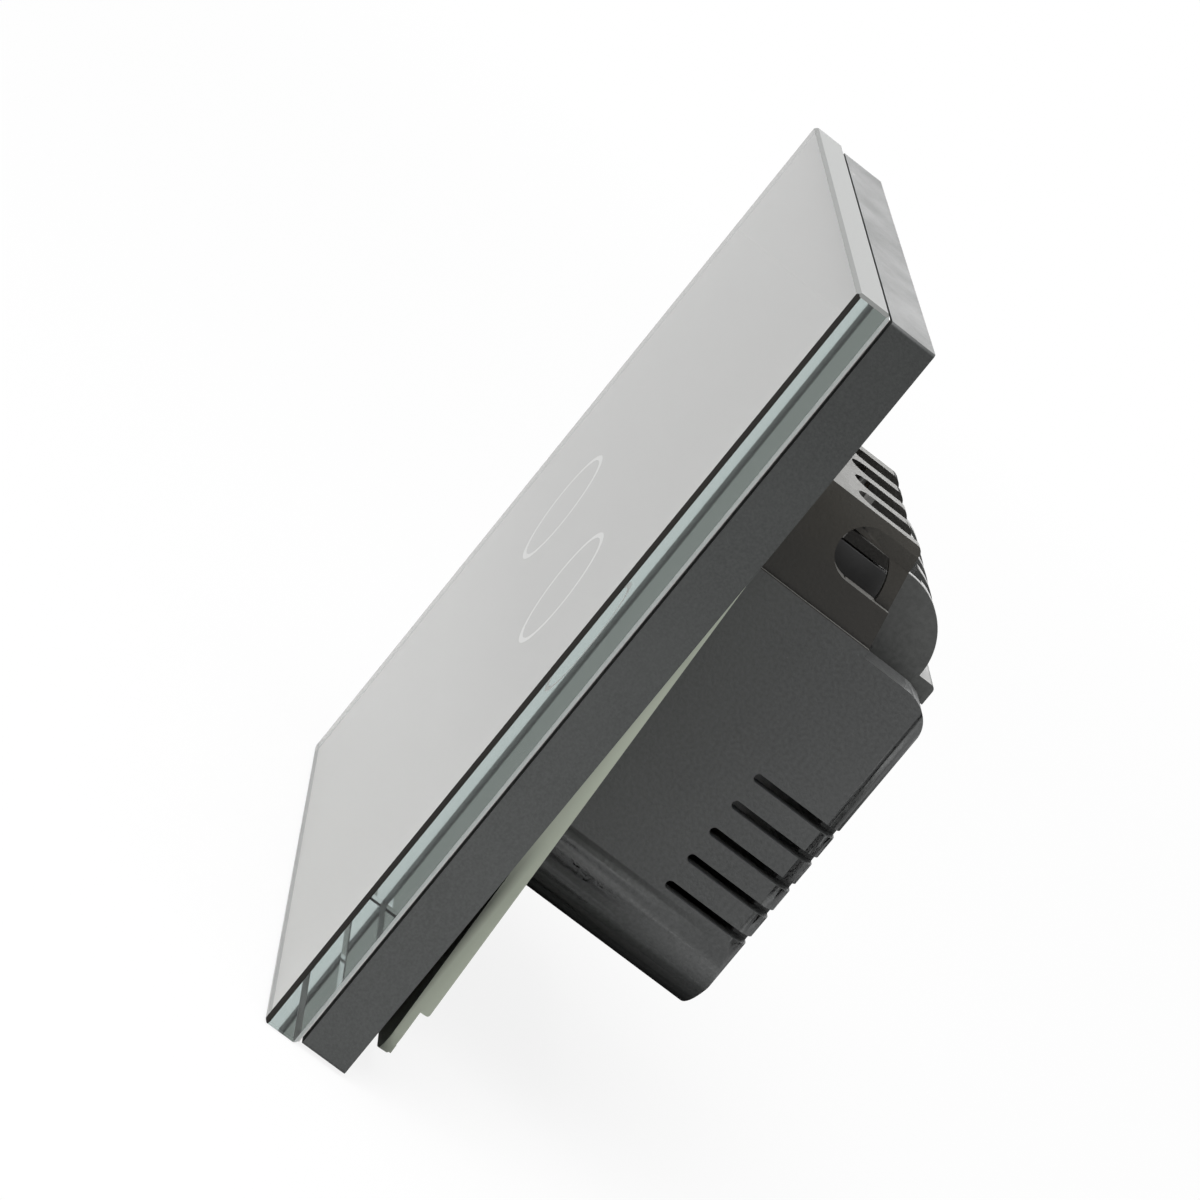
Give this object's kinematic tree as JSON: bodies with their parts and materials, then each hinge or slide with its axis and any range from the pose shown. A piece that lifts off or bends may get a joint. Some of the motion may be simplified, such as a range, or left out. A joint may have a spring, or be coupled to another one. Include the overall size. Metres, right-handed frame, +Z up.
{
  "type": "touch light switch",
  "caption": "Wall light switch with a square bevelled glass touch panel, ring marks, a steel mounting plate and a deep vented rear housing with screw terminals.",
  "frame": {"origin": "middle of the two wall-screw slots, on the wall plane at the rear rim of the front frame", "axes": "+X to the right seen from the room, +Y into the wall, +Z up"},
  "size_m": [0.086, 0.0346, 0.086],
  "materials": {
    "glass": "clear tempered glass with ground edges",
    "back_paint": "grey paint behind the glass",
    "ring_ink": "pale translucent ink",
    "adhesive": "black foam tape",
    "frame_plastic": "fine spark-eroded texture",
    "plate_steel": "dull zinc plate with a greenish passivation",
    "screw_steel": "nickel-plated",
    "carrier_plastic": "black moulding",
    "board": "green solder mask",
    "copper": "bare copper",
    "diffuser": "milky light guide",
    "led": "clear lens on a white body",
    "chip_plastic": "moulded epoxy",
    "pin_gold": "gold-plated",
    "header_plastic": "black nylon",
    "housing_plastic": "fine spark-eroded texture",
    "terminal_plastic": "black nylon",
    "barrier_plastic": "smooth dark grey moulding",
    "brass": "stamped strip",
    "terminal_steel": "nickel-plated steel",
    "relay_plastic": "black case",
    "relay_iron": "plated soft iron",
    "ferrite": "dark ferrite",
    "winding_tape": "yellow polyester tape",
    "capacitor_sleeve": "dark shrink sleeve",
    "film_box": "yellow box",
    "varistor_coat": "blue epoxy coat",
    "fuse_coat": "green lacquer"
  },
  "bodies": {
    "housing": {"mounting_plate": "plate_steel", "plate_screws": "screw_steel", "front_carrier": "carrier_plastic", "touch_board": "board", "touch_pads": "copper", "ring_light_guides": "diffuser", "indicator_leds": "led", "touch_chip": "chip_plastic", "header_pins": "pin_gold", "header_body": "header_plastic", "header_socket": "header_plastic", "power_board": "board", "back_housing": "housing_plastic", "terminal_block": "terminal_plastic", "terminal_barriers": "barrier_plastic", "terminal_bars": "brass", "relay_cases": "relay_plastic", "relay_bases": "header_plastic", "relay_coils": "copper", "relay_yokes": "relay_iron", "relay_contacts": "brass", "relay_return_springs": "brass", "transformer_core": "ferrite", "transformer_winding": "winding_tape", "smoothing_capacitor": "capacitor_sleeve", "film_capacitor": "film_box", "surge_varistor": "varistor_coat", "fuse": "fuse_coat", "rectifier": "chip_plastic", "supply_chip": "chip_plastic"},
    "panel": {"glass_panel": "glass", "back_paint": "back_paint", "touch_ring_windows": "ring_ink", "glass_adhesive": "adhesive", "front_frame": "frame_plastic"},
    "screw_1": {"terminal_screw_1": "terminal_steel"},
    "clamp_1": {"terminal_clamp_1": "terminal_steel"},
    "screw_2": {"terminal_screw_2": "terminal_steel"},
    "clamp_2": {"terminal_clamp_2": "terminal_steel"},
    "screw_3": {"terminal_screw_3": "terminal_steel"},
    "clamp_3": {"terminal_clamp_3": "terminal_steel"},
    "screw_4": {"terminal_screw_4": "terminal_steel"},
    "clamp_4": {"terminal_clamp_4": "terminal_steel"},
    "armature_1": {"relay_armature_1": "relay_iron"},
    "armature_2": {"relay_armature_2": "relay_iron"}
  },
  "joints": [
    {"name": "panel_release", "type": "slide", "parent": "housing", "child": "panel", "axis": [0, -1, 0], "range_m": [0, 0.02]},
    {"name": "relay_1_pull", "type": "hinge", "parent": "housing", "child": "armature_1", "pos_m": [-0.0031, 0.0171, 0.0052], "axis": [0, 0, 1], "range_deg": [0, 3.4], "stiffness_Nm_per_rad": 0.002, "springref_deg": -17.19},
    {"name": "relay_2_pull", "type": "hinge", "parent": "housing", "child": "armature_2", "pos_m": [-0.0031, 0.0171, -0.0055], "axis": [0, 0, 1], "range_deg": [0, 3.4], "stiffness_Nm_per_rad": 0.002, "springref_deg": -17.19},
    {"name": "terminal_screw_1_turn", "type": "hinge", "parent": "housing", "child": "screw_1", "pos_m": [0.01342, 0.0187, 0.0172], "axis": [0, -1, 0], "range_deg": [0, 1728]},
    {"name": "terminal_clamp_1_rise", "type": "slide", "parent": "housing", "child": "clamp_1", "axis": [0, 1, 0], "range_m": [0, 0.0024]},
    {"name": "terminal_screw_2_turn", "type": "hinge", "parent": "housing", "child": "screw_2", "pos_m": [0.00707, 0.0187, 0.0172], "axis": [0, -1, 0], "range_deg": [0, 1728]},
    {"name": "terminal_clamp_2_rise", "type": "slide", "parent": "housing", "child": "clamp_2", "axis": [0, 1, 0], "range_m": [0, 0.0024]},
    {"name": "terminal_screw_3_turn", "type": "hinge", "parent": "housing", "child": "screw_3", "pos_m": [0.00072, 0.0187, 0.0172], "axis": [0, -1, 0], "range_deg": [0, 1728]},
    {"name": "terminal_clamp_3_rise", "type": "slide", "parent": "housing", "child": "clamp_3", "axis": [0, 1, 0], "range_m": [0, 0.0024]},
    {"name": "terminal_screw_4_turn", "type": "hinge", "parent": "housing", "child": "screw_4", "pos_m": [-0.00562, 0.0187, 0.0172], "axis": [0, -1, 0], "range_deg": [0, 1728]},
    {"name": "terminal_clamp_4_rise", "type": "slide", "parent": "housing", "child": "clamp_4", "axis": [0, 1, 0], "range_m": [0, 0.0024]}
  ],
  "couplings": [
    {"joint": "terminal_screw_1_turn", "follows": "terminal_clamp_1_rise", "rad_per_m": 12566},
    {"joint": "terminal_screw_2_turn", "follows": "terminal_clamp_2_rise", "rad_per_m": 12566},
    {"joint": "terminal_screw_3_turn", "follows": "terminal_clamp_3_rise", "rad_per_m": 12566},
    {"joint": "terminal_screw_4_turn", "follows": "terminal_clamp_4_rise", "rad_per_m": 12566}
  ]
}
